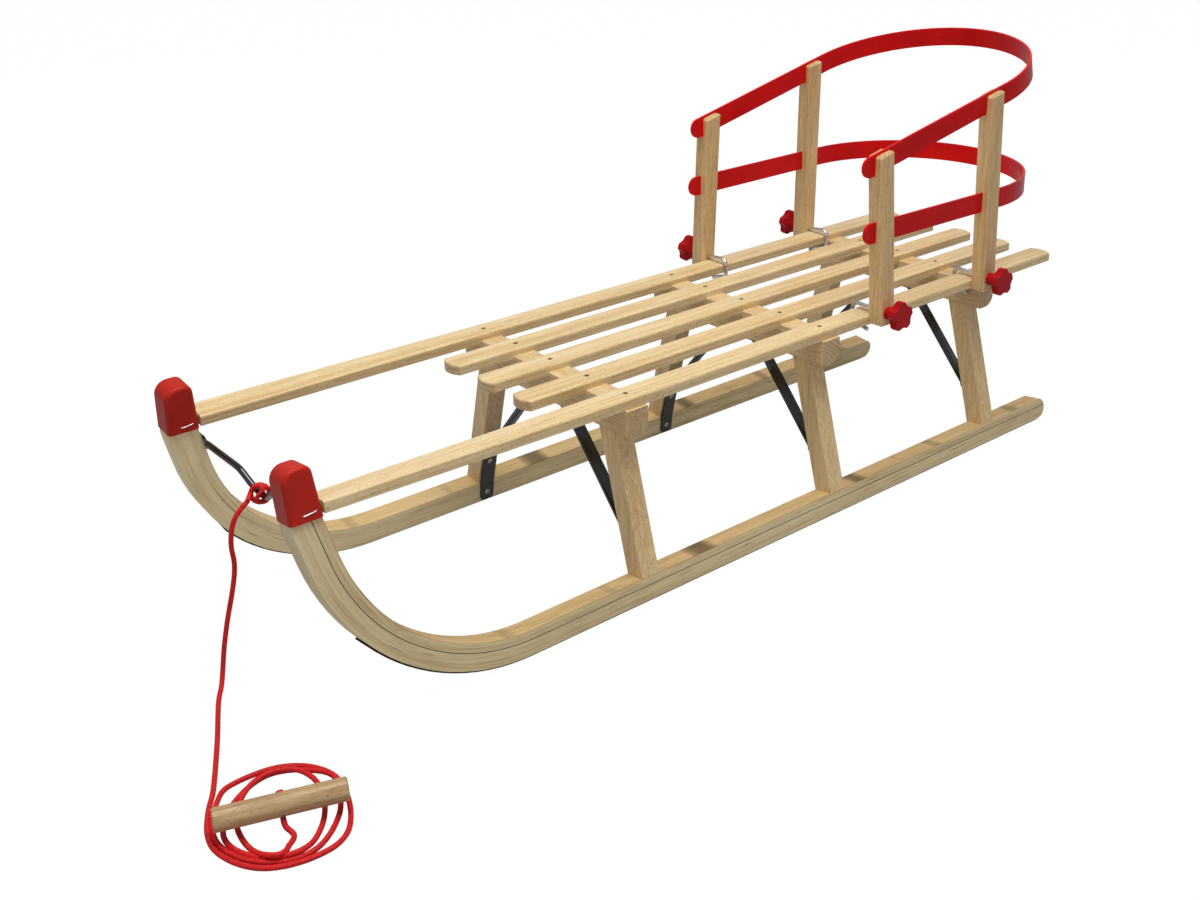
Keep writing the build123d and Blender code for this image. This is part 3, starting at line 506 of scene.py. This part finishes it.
def finish_tree(tree, given, shape):
    """Put the shape on every place, turned as the place says, as one mesh with its finish."""
    turn = add(tree, "GeometryNodeInputNamedAttribute", {"Name": "turn"}, data_type="QUATERNION")
    spread = add(tree, "GeometryNodeInstanceOnPoints",
                 {"Points": given["Places"], "Instance": shape, "Rotation": turn.outputs["Attribute"]})
    whole = add(tree, "GeometryNodeRealizeInstances", {"Geometry": spread})
    whole = add(tree, "GeometryNodeSetMaterial", {"Geometry": whole, "Material": given["Finish"]})
    add(tree, "NodeGroupOutput", {0: whole})
    return tree


def screw_head_tree():
    """A low domed screw head with a cross recess."""
    tree, given = fastener_tree("screw heads", ("Head radius", "Head height"))
    radius, height = given["Head radius"], given["Head height"]
    shoulder, half = ("MULTIPLY", radius, 0.94), ("MULTIPLY", height, 0.5)
    rim = add(tree, "GeometryNodeMeshCone",
              {"Vertices": 20, "Radius Top": shoulder, "Radius Bottom": radius, "Depth": half})
    crown = add(tree, "GeometryNodeMeshCone",
                {"Vertices": 20, "Radius Top": ("MULTIPLY", radius, 0.62), "Radius Bottom": shoulder,
                 "Depth": half})
    lift = add(tree, "ShaderNodeCombineXYZ", {2: half})
    crown = add(tree, "GeometryNodeTransform", {"Geometry": crown, "Translation": lift})
    head = add(tree, "GeometryNodeMeshBoolean", {"Mesh 2": rim}, operation="UNION", solver="FLOAT")
    tree.links.new(crown.outputs[0], head.inputs["Mesh 2"])
    top = add(tree, "ShaderNodeCombineXYZ", {2: height})
    for long, wide in ((1.3, 0.5), (0.5, 1.3)):
        size = add(tree, "ShaderNodeCombineXYZ", {0: ("MULTIPLY", radius, long), 1: ("MULTIPLY", radius, wide),
                                                  2: ("MULTIPLY", height, 2.4)})
        slot = add(tree, "GeometryNodeMeshCube", {"Size": size})
        slot = add(tree, "GeometryNodeTransform", {"Geometry": slot, "Translation": top})
        head = add(tree, "GeometryNodeMeshBoolean", {"Mesh 1": head, "Mesh 2": slot}, operation="DIFFERENCE",
                   solver="FLOAT")
    return finish_tree(tree, given, head)


def staple_tree():
    """The crown of a staple: a wire that rises a little between its two sunk ends."""
    tree, given = fastener_tree("staple crowns", ("Crown length", "Crown rise", "Wire radius"))
    sunk = ("MULTIPLY", given["Wire radius"], -0.6)
    ends = [add(tree, "ShaderNodeCombineXYZ", {0: ("MULTIPLY", given["Crown length"], way), 2: sunk})
            for way in (-0.5, 0.5)]
    top = add(tree, "ShaderNodeCombineXYZ", {2: ("MULTIPLY", given["Crown rise"], 2.0)})
    arch = add(tree, "GeometryNodeCurveQuadraticBezier",
               {"Resolution": 10, "Start": ends[0], "Middle": top, "End": ends[1]})
    ring = add(tree, "GeometryNodeCurvePrimitiveCircle", {"Resolution": 10, "Radius": given["Wire radius"]})
    wire = add(tree, "GeometryNodeCurveToMesh", {"Curve": arch, "Profile Curve": ring, "Fill Caps": True})
    return finish_tree(tree, given, wire)


def fasten(name, tree, material, slot, places, **sizes):
    """Make one plain mesh of the same fastener at every place: position, the way it faces, the way it lies."""
    points = bpy.data.meshes.new(name + "_places")
    points.from_pydata([place for place, _, _ in places], [], [])
    turns = points.attributes.new("turn", "QUATERNION", "POINT")
    for record, (_, facing, lying) in zip(turns.data, places):
        up_way = Vector(facing).normalized()
        side_way = (Vector(lying) - up_way * Vector(lying).dot(up_way)).normalized()
        turn = Matrix((side_way, up_way.cross(side_way), up_way)).transposed().to_quaternion()
        record.value = (turn.w, turn.x, turn.y, turn.z)
    maker = bpy.data.objects.new(name + "_maker", points)
    scene.collection.objects.link(maker)
    modifier = maker.modifiers.new("fasteners", "NODES")
    modifier.node_group = tree
    for item in tree.interface.items_tree:
        if item.in_out == "INPUT" and item.name in sizes:
            modifier[item.identifier] = sizes[item.name]
        if item.name == "Finish":
            modifier[item.identifier] = material
    shown = maker.evaluated_get(bpy.context.evaluated_depsgraph_get())
    mesh = bpy.data.meshes.new_from_object(shown)
    mesh.name = name
    maker.modifiers.remove(modifier)
    bpy.data.objects.remove(maker)
    piece = bpy.data.objects.new(name, mesh)
    scene.collection.objects.link(piece)
    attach(piece, "root")


screw_heads = screw_head_tree()
staples = staple_tree()

SCREW_SINK = 0.0022             # depth of a slat screw in its hole
SCREW_ROWS = (-0.127, -0.064, 0, 0.064, 0.127)
STRUT_UP, STRUT_LOW = 0.0585, 0.014   # a strut's two screws: on the leg, and on the runner
STRUT_UNDER = 0.1825            # height of the strut's underside below the crossbar
STRUT_ENDS = (0.011, 0.022)     # its two screws there, from the middle
BAR_SCREW_UP = 0.1975           # the pull bar's screws, up along the runner
BAR_SCREW_ACROSS = 0.0065       # and across it
BAR_FLAT = 0.003                # thickness of the bar's flattened ends
STAPLE_X, STAPLE_UP = 0.5368, 0.2215
STAPLE_SIDES = ((0.0265, 1), (-0.0030, -1))   # across the runner to a cap's outer and inner side

places = [((x, y, SEAT_TOP - SCREW_SINK), (0, 0, 1), (1, 0.5 + 6 * y, 0)) for x in CROSSBAR_X for y in SCREW_ROWS]
fasten("slat_screws", screw_heads, screw_steel_with_hole_shade, "zinc_steel", places,
       **{"Head radius": 0.00265, "Head height": 0.0012})

places = []
for sign in (1, -1):
    for x in CROSSBAR_X:
        y, z = beside_runner(sign, -STRUT, STRUT_LOW)
        places.append(((x, y, z), (0, -sign * cos(CANT), -sin(CANT)), (1, 0, 0.3)))
        y = LEG_INNER_Y + (LEG_TOP_Z - STRUT_UP) * tan(LEG_LEAN) - STRUT * cos(LEG_LEAN)
        z = STRUT_UP - STRUT * sin(LEG_LEAN)
        places.append(((x, sign * y, z), (0, -sign * cos(LEG_LEAN), -sin(LEG_LEAN)), (1, 0, 1.2)))
        for y in STRUT_ENDS:
            places.append(((x, sign * y, STRUT_UNDER), (0, 0, -1), (1, 0.4, 0)))
bend_end_x = BEND_X + INNER_R * sin(RISE)
bend_end_up = RUNNER_TOP + INNER_R * (1 - cos(RISE))
for sign in (1, -1):
    y, z = beside_runner(sign, BAR_SCREW_ACROSS, BAR_SCREW_UP)
    x = bend_end_x + (BAR_SCREW_UP - bend_end_up) / tan(RISE) - BAR_FLAT / sin(RISE)
    places.append(((x, y, z), (-sin(RISE), 0, cos(RISE)), (0, 1, 0.3)))
fasten("strut_and_bar_screws", screw_heads, bright_steel, "zinc_steel", places,
       **{"Head radius": 0.0032, "Head height": 0.0016})

places = []
for sign in (1, -1):
    for across, way in STAPLE_SIDES:
        y, z = beside_runner(sign, across, STAPLE_UP)
        places.append(((STAPLE_X, y, z), (0, way * sign * cos(CANT), way * sin(CANT)), (1, 0, -0.12)))
fasten("cap_staples", staples, bright_steel, "zinc_steel", places,
       **{"Crown length": 0.0125, "Crown rise": 0.0005, "Wire radius": 0.0007})
